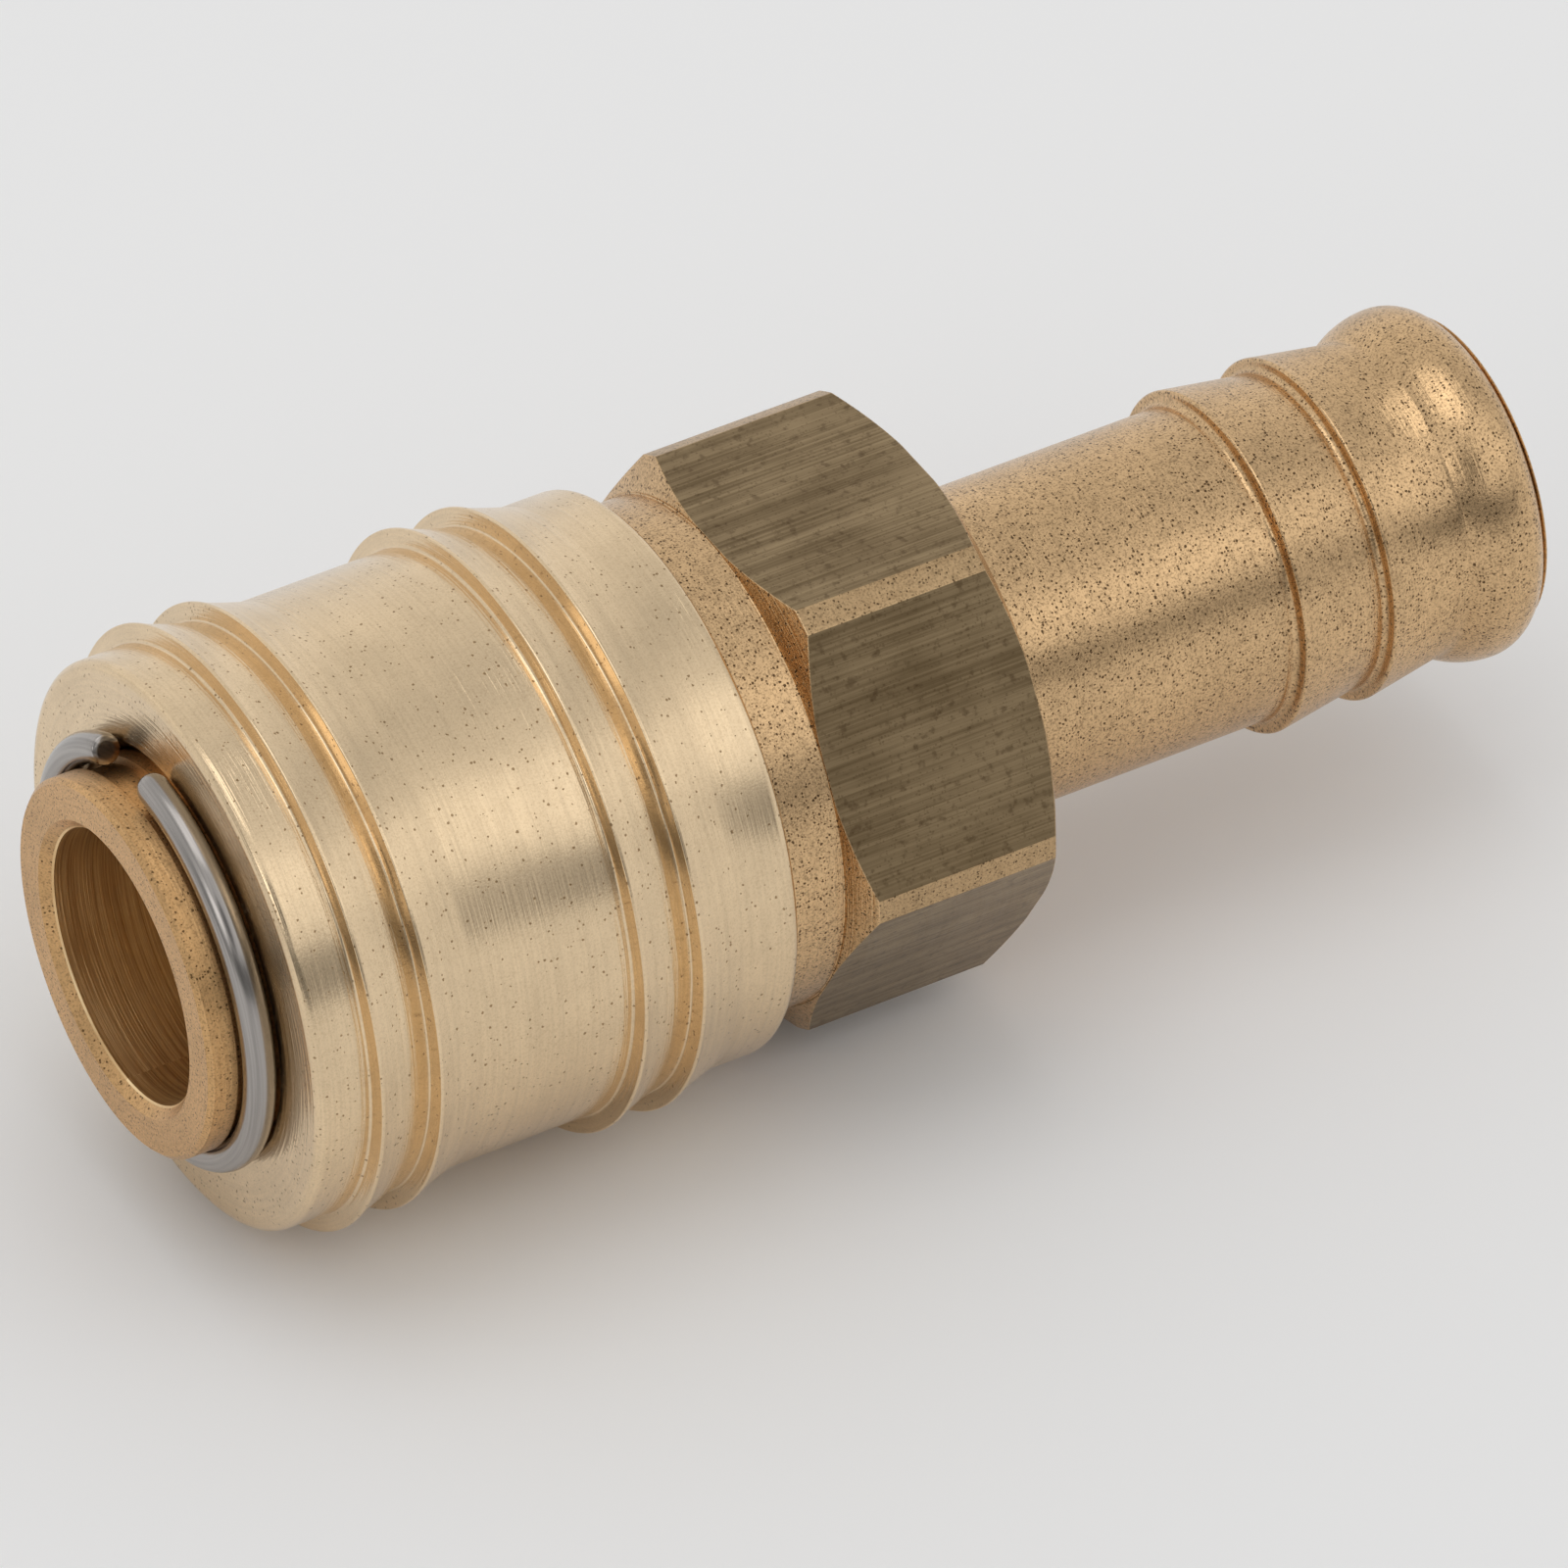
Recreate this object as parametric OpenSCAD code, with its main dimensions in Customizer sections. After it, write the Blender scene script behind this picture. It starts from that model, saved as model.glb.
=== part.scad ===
// Quick-release coupling for compressed air with a barbed hose tail.
// The axis is X: the nose face of the socket is at x = 0 and the hose tail points to +X.
// Z is up, and two flats of the hexagon lie level. All sizes are in millimetres.

/* [Socket body] */
// Outside diameter of the socket body under the sleeve
body_d = 15.7; // [15.5:0.1:16.2]
// Step by which the flange at the nose is smaller in radius than the body
nose_step = 0.1; // [0:0.05:0.2]
// Width of the flange at the nose
flange_w = 1.2; // [1.0:0.1:1.5]
// Diameter of the bore that takes the plug
bore_d = 11.3; // [11.1:0.1:11.6]
// Size of the chamfer at the mouth of the bore
mouth_chamfer = 0.45; // [0.3:0.05:0.6]
// Diameter of the narrower bore for the tip of the plug
tip_bore_d = 10.1; // [9.6:0.1:10.4]
// Length of the narrower bore for the tip of the plug
tip_bore_l = 2.0; // [1.6:0.1:2.6]
// Diameter of the screwed joint between socket body and hose tail
joint_d = 15.0; // [14.8:0.1:15.2]
// Length of the screwed joint
joint_l = 4.5; // [3.5:0.1:5.2]

/* [Retaining ring] */
// Diameter of the ring's wire
wire_d = 1.3; // [1.1:0.05:1.4]
// Depth of the ring groove below the body
groove_depth = 0.35; // [0.25:0.05:0.5]
// Opening of the ring between its ends, in degrees
ring_gap = 23; // [18:1:30]
// Place of the middle of the opening, in degrees from the top
ring_gap_at = -14; // [-30:1:30]
// Distance by which the ring sits off centre, so that its cut end stands proud
ring_shift = 0.12; // [0.05:0.01:0.2]

/* [Sleeve] */
// Length of the sleeve
sleeve_l = 21.1; // [20.6:0.05:22]
// Diameter of the sleeve between its ridges
sleeve_d = 23.2; // [22.8:0.1:23.8]
// Height of the grip ridges above the sleeve
ridge_h = 0.75; // [0.5:0.05:0.9]
// Distance from the sleeve's front face to the front of the first ridge
ridge_start = 2.5; // [1.9:0.1:2.9]
// Distance between the two ridges of a pair
ridge_pitch = 2.44; // [2.2:0.02:2.6]
// Distance between the two pairs of ridges
pair_pitch = 11.42; // [10.2:0.02:11.8]
// Radius of the sleeve's outer edges
sleeve_edge_r = 0.4; // [0.2:0.05:0.5]
// Thickness of the sleeve's wall round the spring
sleeve_wall = 1.05; // [0.9:0.05:1.1]
// Travel of the sleeve when it is pulled back
sleeve_travel = 2.4; // [2.0:0.1:2.5]
// Length of the shoulder that the sleeve covers at rest
shoulder_cover = 3.0; // [2.6:0.05:3.3]

/* [Locking balls] */
// Diameter of the locking balls
ball_d = 3.5; // [3.2:0.1:3.7]
// Depth by which the locked balls reach into the bore
ball_bite = 0.8; // [0.6:0.05:0.9]

/* [Springs] */
// Diameter of the sleeve spring's wire
sleeve_spring_wire = 0.9; // [0.7:0.05:1.0]
// Turns of the sleeve spring
sleeve_spring_turns = 5; // [4:0.5:6]
// Diameter of the valve spring's wire
valve_spring_wire = 0.7; // [0.5:0.05:0.75]
// Turns of the valve spring
valve_spring_turns = 7; // [5:0.5:8]

/* [Valve] */
// Length of the plug seal in its groove
seal_l = 2.4; // [2.0:0.1:2.8]
// Diameter of the hole through the plug seal
seal_hole_d = 9.7; // [9.2:0.1:10.0]
// Diameter of the valve chamber
chamber_d = 13.0; // [12.8:0.1:13.2]
// Length of the valve poppet
poppet_l = 6.6; // [6.0:0.1:7.2]
// Travel of the valve poppet
valve_travel = 3.0; // [2:0.1:3.5]
// Length of the spring room behind the poppet's stop
spring_room_l = 3.8; // [3.2:0.1:4.4]

/* [Hose tail] */
// Width of the hexagon across its flats
hex_af = 21; // [20.6:0.1:21.4]
// Depth by which the corners of the hexagon are turned down
corner_cut = 0.3; // [0.15:0.05:0.5]
// Length of the hexagon
hex_l = 9.35; // [8.8:0.05:10.5]
// Diameter of the tail, which is that of the hose
tail_d = 13.05; // [12.8:0.05:14]
// Diameter of the hole through the tail
tail_bore_d = 9.5; // [9:0.1:9.8]
// Length of the plain tail between hexagon and first barb
plain_l = 13.1; // [9:0.1:17]
// Height of the barbs above the tail
barb_h = 0.62; // [0.4:0.02:0.7]
// Distance between the two barbs
barb_pitch = 4.05; // [3.9:0.05:4.6]
// Height of the rounded bead above the tail at its end
bead_h = 0.78; // [0.5:0.02:0.9]

/* [Hidden] */
$fn = 96;
ball_count = 6;

brass = "#cdb283";
hex_brass = "#7d6b4b";
steel = "#8d9095";
rubber = "#2b2b2b";

// Clearances
slide_fit = 0.05;
rest_gap = 0.07;
spring_gap = 0.1;
cut_over = 1;

// Nose, ring groove and ring
body_r = body_d / 2;
nose_r = body_r - nose_step;
small_chamfer = 0.2;
groove_w = wire_d + slide_fit;
groove_r = body_r - groove_depth;
ring_x = flange_w + groove_w / 2;
ring_mean_r = groove_r + slide_fit / 2 + wire_d / 2 + ring_shift;
ring_end_at = ring_gap_at - ring_gap / 2;

// Sleeve, from its front face to its rear
sleeve_r = sleeve_d / 2;
sleeve_x0 = flange_w + groove_w + rest_gap - slide_fit / 2;
sleeve_x1 = sleeve_x0 + sleeve_l;
lip_chamfer = 0.65;
lip_w = 0.85;
lip_r = body_r + slide_fit;
lip_x1 = sleeve_x0 + lip_chamfer + lip_w;

// Grip ridges, whose hollow rear flank ends a small land before the foot of the next ridge
ridge_fillet = 0.15;
ridge_land = 0.1;
crest_round = 0.25;
crest_flat = 0.05;
hollow_end = ridge_pitch - ridge_fillet - ridge_land;
hollow_l = hollow_end - crest_round - crest_flat;
hollow_turn = 2 * atan(ridge_h / hollow_l);
hollow_r = hollow_l / sin(hollow_turn);

// Balls and the ramp inside the sleeve that moves them
ball_r = ball_d / 2;
bore_r = bore_d / 2;
ball_mid_r = bore_r - ball_bite + ball_r;
ball_end_gap = 0.35;
ball_x = lip_x1 + sleeve_travel + ball_r + ball_end_gap;
ramp_slope = ball_bite / sleeve_travel;
ramp_angle = atan(ramp_slope);
ramp_r_at_ball = ball_mid_r + (ball_r + slide_fit) / cos(ramp_angle);
recess_gap = 0.15;
recess_r = ball_mid_r + ball_bite + ball_r + recess_gap;
ramp_x0 = ball_x - (recess_r - ramp_r_at_ball) / ramp_slope;
land_step = 0.35;
land_r = body_r + land_step;
ramp_x1 = ball_x + (ramp_r_at_ball - land_r) / ramp_slope;
land_w = 0.95;
spring_seat_x = ramp_x1 + land_w;

// Ball holes with a thin lip at the bore that keeps the balls from falling in
ball_hole_r = ball_r + slide_fit;
lip_t = 0.15;
lip_bite = 0.12;
lip_fit = 0.02;
ball_lip_r = sqrt(pow(ball_r, 2) - pow(ball_mid_r - bore_r - lip_t, 2)) - lip_bite;
ball_seat_r = ball_mid_r - sqrt(pow(ball_r, 2) - pow(ball_lip_r, 2)) + lip_fit;

// Shoulder of the hose tail inside the sleeve
spring_bore_r = sleeve_r - sleeve_wall;
shoulder_r = spring_bore_r - 2 * slide_fit;
shoulder_x0 = sleeve_x1 - shoulder_cover;
stop_gap = 0.2;
hex_x0 = sleeve_x1 + sleeve_travel + stop_gap;

// Inside of the socket body
bore_end_gap = 0.25;
wide_bore_x1 = ball_x + ball_r + bore_end_gap;
tip_bore_r = tip_bore_d / 2;
tip_bore_x0 = wide_bore_x1 + (bore_r - tip_bore_r);
seal_x0 = tip_bore_x0 + tip_bore_l;
seal_groove_depth = 1.2;
seal_groove_r = tip_bore_r + seal_groove_depth;
seal_x1 = seal_x0 + seal_l;
keeper_step = 0.65;
keeper_r = tip_bore_r + keeper_step;
keeper_w = 0.5;
chamber_x0 = seal_x1 + keeper_w;
chamber_r = chamber_d / 2;
joint_r = joint_d / 2;
joint_x1 = shoulder_x0 + joint_l;
joint_end_gap = 0.2;
seal_chamfer = 0.3;

// Poppet and its spring
poppet_gap = 0.1;
poppet_x0 = chamber_x0 + poppet_gap;
poppet_x1 = poppet_x0 + poppet_l;
poppet_flow_gap = 0.55;
poppet_front_r = chamber_r - poppet_flow_gap;
poppet_guide_r = chamber_r - 1.5 * slide_fit;
poppet_guide_l = 2.2;
poppet_face_t = 1.4;
poppet_wall = 0.55;
port_d = 2.8;
port_count = 4;
counterbore_x1 = joint_x1 + joint_end_gap;
valve_stop_x = poppet_x1 + valve_travel + stop_gap;
spring_room_x1 = valve_stop_x + spring_room_l;
tail_bore_r = tail_bore_d / 2;
valve_spring_r = poppet_front_r - poppet_wall - spring_gap - valve_spring_wire / 2;
spring_room_r = valve_spring_r + valve_spring_wire / 2 + 3 * spring_gap;
sleeve_spring_r = (body_r + spring_bore_r) / 2;

// Hexagon and tail. The round core inside the hexagon runs on from the shoulder, and the
// chamfers at the hexagon's corners are cut as very flat spheres centred on the axis, with
// their foot just outside the flats and the shoulder
corner_r = hex_af / 2 / cos(30) - corner_cut;
hex_x1 = hex_x0 + hex_l;
face_angle = 30;
crown_step = 0.05;
crown_foot_r = max(shoulder_r, hex_af / 2) + crown_step;
corner_chamfer_w = (corner_r - crown_foot_r) * tan(face_angle);
crown_x = (pow(corner_r, 2) - pow(crown_foot_r, 2) + pow(corner_chamfer_w, 2)) / (2 * corner_chamfer_w);
crown_r = sqrt(pow(crown_x, 2) + pow(crown_foot_r, 2));
core_inset = 0.5;
core_r = hex_af / 2 - core_inset;
tail_r = tail_d / 2;
barb_x = hex_x1 + plain_l;
barb_fillet = 0.3;
barb_angle = 10;
barb_edge = 0.1;
barb_flat = 0.05;
barb_r = tail_r + barb_h;
bead_x = barb_x + 2 * barb_pitch;
bead_r = tail_r + bead_h;
bead_front_r = 3.35;
bead_rear_r = 1.5;
bead_mid_x = bead_x + sqrt(pow(bead_front_r, 2) - pow(bead_front_r - bead_h, 2));
tail_x1 = bead_mid_x + bead_rear_r;
tail_chamfer = 0.3;

// Points of an arc in the plane of the axis and the radius, from angle a0 to a1
function arc(x, r, rad, a0, a1, n = 5) =
    [for (i = [0:n]) let (a = a0 + (a1 - a0) * i / n) [x + rad * cos(a), r + rad * sin(a)]];

// One grip ridge with its front at x: small fillet at the foot, front face, round front of the
// crest and hollow rear flank, which comes down level with the sleeve
function ridge(x) = concat(
    arc(x - ridge_fillet, sleeve_r + ridge_fillet, ridge_fillet, -90, 0, 4),
    arc(x + crest_round, sleeve_r + ridge_h - crest_round, crest_round, 180, 90, 4),
    arc(x + hollow_end, sleeve_r + hollow_r, hollow_r, -90 - hollow_turn, -90, 8)
);

// A pair of ridges with the front of the first at x
function ridge_pair(x) = concat(ridge(x), ridge(x + ridge_pitch));

// One barb: concave foot, small step and crest, from which the taper falls to the next foot
function barb(x) = concat(
    arc(x, tail_r + barb_fillet, barb_fillet, -90, 0, 4),
    [[x + barb_fillet, barb_r - barb_edge], [x + barb_fillet + barb_edge, barb_r]]
);

// Distance from a barb's foot to where its taper meets the tail
taper_end_x = min(barb_pitch - barb_flat, barb_fillet + barb_edge + barb_h / tan(barb_angle));

module turned(points) {
    rotate([0, 90, 0])
        rotate_extrude()
            polygon([for (p = points) [p[1], p[0]]]);
}

// A coil of round wire about X, with closed ends
module coil(x0, x1, mean_r, wire, turns, sides = 8, steps = 20) {
    n = round(turns * steps);
    run = x1 - x0 - wire;
    function along(i) =
        let (t = i / steps, free = turns - 2, pitch = (run - 2 * wire) / free)
        t < 1 ? t * wire : t > turns - 1 ? run - (turns - t) * wire : wire + (t - 1) * pitch;
    points = [for (i = [0:n], k = [0:sides - 1])
        let (a = 360 * i / steps, b = 360 * k / sides, r = mean_r + wire / 2 * cos(b))
        [x0 + wire / 2 + along(i) + wire / 2 * sin(b), -r * sin(a), r * cos(a)]];
    walls = [for (i = [0:n - 1], k = [0:sides - 1])
        let (k2 = (k + 1) % sides, p = i * sides, q = p + sides)
        [p + k, p + k2, q + k2, q + k]];
    ends = [[for (k = [sides - 1:-1:0]) k], [for (k = [0:sides - 1]) n * sides + k]];
    polyhedron(points, concat(walls, ends), convexity = 10);
}

module socket_body() {
    color(brass)
    difference() {
        turned(concat(
            [[mouth_chamfer, bore_r], [0, bore_r + mouth_chamfer]],
            [[0, nose_r - small_chamfer], [small_chamfer, nose_r], [flange_w, nose_r]],
            [[flange_w, groove_r], [flange_w + groove_w, groove_r]],
            [[flange_w + groove_w, body_r], [shoulder_x0, body_r], [shoulder_x0, joint_r]],
            [[joint_x1 - small_chamfer, joint_r], [joint_x1, joint_r - small_chamfer]],
            [[joint_x1, chamber_r], [chamber_x0, chamber_r]],
            [[chamber_x0, keeper_r], [seal_x1, keeper_r]],
            [[seal_x1, seal_groove_r], [seal_x0, seal_groove_r]],
            [[seal_x0, tip_bore_r], [tip_bore_x0, tip_bore_r], [wide_bore_x1, bore_r]]
        ));
        for (i = [0:ball_count - 1])
            rotate([i * 360 / ball_count, 0, 0])
                translate([ball_x, 0, 0]) {
                    cylinder(r = ball_lip_r, h = body_d);
                    translate([0, 0, ball_seat_r])
                        cylinder(r = ball_hole_r, h = body_d);
                }
    }
}

module ball(i) {
    color(steel)
    rotate([i * 360 / ball_count, 0, 0])
        translate([ball_x, 0, ball_mid_r])
            sphere(d = ball_d);
}

// The wire runs round the nose from one side of the gap to the other
module retaining_ring() {
    color(steel)
    translate([ring_x, 0, 0])
        rotate([ring_end_at, 0, 0])
            translate([0, 0, ring_shift])
                rotate([0, -90, 0])
                    rotate_extrude(angle = 360 - ring_gap)
                        translate([ring_mean_r, 0])
                            circle(d = wire_d, $fn = 32);
}

module sleeve() {
    color(brass)
    turned(concat(
        arc(sleeve_x0 + sleeve_edge_r, sleeve_r - sleeve_edge_r, sleeve_edge_r, 180, 90),
        ridge_pair(sleeve_x0 + ridge_start),
        ridge_pair(sleeve_x0 + ridge_start + pair_pitch),
        arc(sleeve_x1 - sleeve_edge_r, sleeve_r - sleeve_edge_r, sleeve_edge_r, 90, 0),
        [[sleeve_x1, spring_bore_r + small_chamfer], [sleeve_x1 - small_chamfer, spring_bore_r]],
        [[spring_seat_x, spring_bore_r], [spring_seat_x, land_r], [ramp_x1, land_r]],
        [[ramp_x0, recess_r], [lip_x1, recess_r], [lip_x1, lip_r]],
        [[sleeve_x0 + lip_chamfer, lip_r], [sleeve_x0, lip_r + lip_chamfer]]
    ));
}

module sleeve_spring() {
    color(steel)
    coil(spring_seat_x + spring_gap, shoulder_x0 - spring_gap, sleeve_spring_r,
         sleeve_spring_wire, sleeve_spring_turns);
}

module plug_seal() {
    color(rubber)
    turned([
        [seal_x0 + slide_fit, seal_hole_d / 2 + seal_chamfer],
        [seal_x0 + slide_fit, seal_groove_r - slide_fit],
        [seal_x1 - slide_fit, seal_groove_r - slide_fit],
        [seal_x1 - slide_fit, keeper_r - 2 * slide_fit],
        [chamber_x0 + slide_fit, keeper_r - 2 * slide_fit],
        [chamber_x0 + slide_fit, seal_hole_d / 2],
        [seal_x0 + slide_fit + seal_chamfer, seal_hole_d / 2]
    ]);
}

// A cup that slides in the chamber, shut at the front, with ports behind its face
module valve_poppet() {
    inner_r = poppet_front_r - poppet_wall;
    guide_x = poppet_x1 - poppet_guide_l;
    port_x = (poppet_x0 + poppet_face_t + guide_x) / 2;
    color(brass)
    difference() {
        turned([
            [poppet_x0, 0],
            [poppet_x0, poppet_front_r],
            [guide_x - poppet_guide_r + poppet_front_r, poppet_front_r],
            [guide_x, poppet_guide_r],
            [poppet_x1, poppet_guide_r],
            [poppet_x1, inner_r],
            [poppet_x0 + poppet_face_t, inner_r],
            [poppet_x0 + poppet_face_t, 0]
        ]);
        for (i = [0:port_count - 1])
            rotate([45 + i * 360 / port_count, 0, 0])
                translate([port_x, 0, 0])
                    cylinder(d = port_d, h = chamber_d);
    }
}

module valve_spring() {
    color(steel)
    coil(poppet_x0 + poppet_face_t + spring_gap, spring_room_x1 - spring_gap, valve_spring_r,
         valve_spring_wire, valve_spring_turns);
}

// Shoulder, hexagon and tail are turned from one bar. The hexagon's corners are turned down to
// strips and chamfered at both ends
module hose_tail() {
    color(hex_brass)
    difference() {
        union() {
            turned([
                [shoulder_x0, 0],
                [shoulder_x0, shoulder_r - small_chamfer],
                [shoulder_x0 + small_chamfer, shoulder_r],
                [hex_x0, shoulder_r],
                [hex_x0, core_r],
                [hex_x1, core_r],
                [hex_x1, 0]
            ]);
            intersection() {
                translate([hex_x0, 0, 0])
                    rotate([0, 90, 0])
                        rotate([0, 0, 30])
                            cylinder(d = hex_af / cos(30), h = hex_l, $fn = 6);
                translate([hex_x0, 0, 0])
                    rotate([0, 90, 0])
                        cylinder(r = corner_r, h = hex_l);
                translate([hex_x0 + crown_x, 0, 0])
                    sphere(r = crown_r);
                translate([hex_x1 - crown_x, 0, 0])
                    sphere(r = crown_r);
            }
            turned(concat(
                [[hex_x0, 0], [hex_x0, tail_r]],
                barb(barb_x),
                [[barb_x + taper_end_x, tail_r]],
                barb(barb_x + barb_pitch),
                [[barb_x + barb_pitch + taper_end_x, tail_r]],
                arc(bead_mid_x, bead_r - bead_front_r, bead_front_r,
                    90 + acos((bead_front_r - bead_h) / bead_front_r), 90, 6),
                arc(bead_mid_x, bead_r - bead_rear_r, bead_rear_r, 90, 0, 8),
                [[tail_x1, 0]]
            ));
        }
        turned([
            [shoulder_x0 - cut_over, 0],
            [shoulder_x0 - cut_over, joint_r + slide_fit / 2],
            [counterbore_x1, joint_r + slide_fit / 2],
            [counterbore_x1, chamber_r],
            [valve_stop_x, chamber_r],
            [valve_stop_x, spring_room_r],
            [spring_room_x1, spring_room_r],
            [spring_room_x1, tail_bore_r],
            [tail_x1 - tail_chamfer, tail_bore_r],
            [tail_x1, tail_bore_r + tail_chamfer],
            [tail_x1 + cut_over, tail_bore_r + tail_chamfer + cut_over],
            [tail_x1 + cut_over, 0]
        ]);
    }
}

socket_body();
retaining_ring();
sleeve();
sleeve_spring();
hose_tail();
plug_seal();
valve_poppet();
valve_spring();
for (i = [1:ball_count])
    ball(i - 1);
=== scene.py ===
# %% [markdown]
# A quick-release coupling for compressed air with a barbed hose tail, made of turned brass.
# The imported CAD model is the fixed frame: it says where each part is, in metres. The outer
# parts are made again here as smooth surfaces, because a metal's look comes from its
# reflections, and those show every facet. The hidden parts keep their CAD mesh.

# %% Load the frame and keep its box
import math

import bmesh
import bpy
import numpy as np
from mathutils import Matrix, Vector


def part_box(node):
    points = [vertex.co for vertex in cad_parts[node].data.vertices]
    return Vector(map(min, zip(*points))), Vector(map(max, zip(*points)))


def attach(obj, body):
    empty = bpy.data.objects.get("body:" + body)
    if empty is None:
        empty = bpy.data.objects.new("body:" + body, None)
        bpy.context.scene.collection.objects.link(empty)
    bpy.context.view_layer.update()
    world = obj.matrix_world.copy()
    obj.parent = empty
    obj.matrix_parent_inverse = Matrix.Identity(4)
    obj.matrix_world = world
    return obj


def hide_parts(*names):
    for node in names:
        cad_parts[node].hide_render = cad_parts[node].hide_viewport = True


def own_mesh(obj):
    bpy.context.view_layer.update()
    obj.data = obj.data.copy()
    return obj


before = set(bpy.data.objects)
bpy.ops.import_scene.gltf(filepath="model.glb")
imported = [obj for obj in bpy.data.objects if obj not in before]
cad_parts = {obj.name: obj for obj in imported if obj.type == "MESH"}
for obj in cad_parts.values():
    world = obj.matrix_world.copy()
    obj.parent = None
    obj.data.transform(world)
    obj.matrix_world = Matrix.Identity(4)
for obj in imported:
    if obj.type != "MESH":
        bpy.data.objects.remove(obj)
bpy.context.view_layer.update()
bpy.context.scene.view_settings.view_transform = "Standard"
print("CAD nodes:", ", ".join(sorted(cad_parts)))

# %% [markdown]
# The camera looks down on the coupling's nose from its left. It stands 0.69 m away with a
# long lens, so the coupling shrinks only a little towards the hose tail. The three directions
# below are measured at the object: which way the camera looks, what is right and what is up.

# %% The camera
CAMERA_AT = (-0.2352, -0.4623, 0.4433)
LOOKS_ALONG = np.array([0.3809, 0.6651, -0.6423])
RIGHT = np.array([0.8665, -0.4993, -0.0030])
LENS_MM = 409.1
SENSOR_MM = 36
NEAREST = 0.01

camera = bpy.data.objects.new("camera", bpy.data.cameras.new("camera"))
bpy.context.scene.collection.objects.link(camera)
camera.data.lens = LENS_MM
camera.data.sensor_width = SENSOR_MM
camera.data.clip_start = NEAREST
up = np.cross(RIGHT, LOOKS_ALONG)
columns = np.column_stack([RIGHT, up, -LOOKS_ALONG, CAMERA_AT])
camera.matrix_world = Matrix([*columns.tolist(), (0, 0, 0, 1)])
bpy.context.scene.camera = camera
print("camera's distance to the origin:", round(Vector(CAMERA_AT).length, 3), "m")

# %% [markdown]
# All sizes are in millimetres, as on a drawing, and become metres when a mesh is made. The
# places along the axis are counted from the nose, as in the CAD model.

# %% Sizes of the real parts
MM = 0.001
SLEEVE_X0, SLEEVE_X1, SLEEVE_R, SLEEVE_EDGE_R = 2.595, 23.695, 11.6, 0.4
LIP_R, RECESS_R, LAND_R, SPRING_BORE_R = 7.9, 9.3, 8.2, 10.55
LIP_X1, RAMP_X0, RAMP_X1, SPRING_SEAT_X = 4.095, 6.187, 9.487, 10.437
LIP_CHAMFER, SLEEVE_CHAMFER = 0.65, 0.2
SHOULDER_X0, SHOULDER_R = 20.695, 10.45
FLATS, HEX_X0, HEX_X1, CORNER_R = 21.0, 26.295, 35.645, 11.824
TAIL_R, TAIL_X1, TAIL_BORE_R, TAIL_CHAMFER = 6.525, 60.494, 4.75, 0.3
JOINT_R, CHAMBER_R, SPRING_ROOM_R = 7.525, 6.5, 5.7
JOINT_X1, STOP_X, SPRING_ROOM_X1 = 25.395, 25.995, 29.795

# %% [markdown]
# Turned parts are a profile carried round the axis. Real edges are never sharp: a small arc
# catches the light as a thin bright line. So each corner of a profile gets an arc, with a
# point just before and after it, which keeps the smooth shading off the faces beside it.

# %% A profile with rounded corners
ARC_STEPS = 6
SUPPORT, SUPPORT_SHARE = 0.03, 0.2
MOST_OF_SIDE = 0.46


def rounded(corners):
    """Corners are rows of (x, r, radius). Each corner's arc touches both its sides: it starts
    at a distance of radius / tan(half the corner's angle), and its centre lies on the line
    that halves the angle, at radius / sin(half the angle). An arc takes at most MOST_OF_SIDE
    of the shorter side. A row with radius 0 is one point of a curve and stays as it is."""
    c = np.array(corners, float)
    p, radius = c[:, :2], c[:, 2]
    before = np.roll(p, 1, 0) - p
    after = np.roll(p, -1, 0) - p
    room = np.minimum(np.linalg.norm(before, axis=1), np.linalg.norm(after, axis=1))
    before /= np.linalg.norm(before, axis=1)[:, None]
    after /= np.linalg.norm(after, axis=1)[:, None]
    half = np.arccos(np.clip((before * after).sum(1), -0.99999, 0.99999)) / 2
    back = np.minimum(radius / np.tan(half), MOST_OF_SIDE * room)
    radius = back * np.tan(half)
    middle = before + after
    middle /= np.linalg.norm(middle, axis=1)[:, None]
    centre = p + middle * (radius / np.sin(half))[:, None]
    t = np.linspace(-1, 1, ARC_STEPS + 1)[None, :, None]
    swing = (np.pi / 2 - half)[:, None, None]
    across = after - before
    across /= np.linalg.norm(across, axis=1)[:, None]
    arc = centre[:, None] + radius[:, None, None] * (
        -middle[:, None] * np.cos(t * swing) + across[:, None] * np.sin(t * swing))
    reach = (back + np.minimum(SUPPORT, SUPPORT_SHARE * back))[:, None]
    first, last = p + before * reach, p + after * reach
    groups = np.concatenate([first[:, None], arc, last[:, None]], 1)
    return np.vstack([g if row[2] > 0 else row[None, :2] for g, row in zip(groups, c)])


# %% From points to a mesh
def smooth_piece(name, points, faces):
    """A mesh of points in millimetres, shaded smooth."""
    mesh = bpy.data.meshes.new(name)
    mesh.from_pydata((points * MM).tolist(), [], faces)
    mesh.polygons.foreach_set("use_smooth", np.ones(len(mesh.polygons), bool))
    mesh.update()
    mesh.calc_loop_triangles()
    piece = bpy.data.objects.new(name, mesh)
    bpy.context.scene.collection.objects.link(piece)
    print(name, len(mesh.vertices), "points,", len(mesh.loop_triangles), "triangles")
    return piece


def grid_piece(name, points):
    """Points are a grid (rows, columns, 3) that closes on itself both ways. Row i and column j
    join i + 1 and j + 1 by one four-sided face."""
    rows, columns = points.shape[:2]
    i, j = np.meshgrid(np.arange(rows), np.arange(columns), indexing="ij")
    i1, j1 = (i + 1) % rows, (j + 1) % columns
    quads = np.stack([i * columns + j, i1 * columns + j, i1 * columns + j1, i * columns + j1], -1)
    return smooth_piece(name, points.reshape(-1, 3), quads.reshape(-1, 4).tolist())


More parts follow.
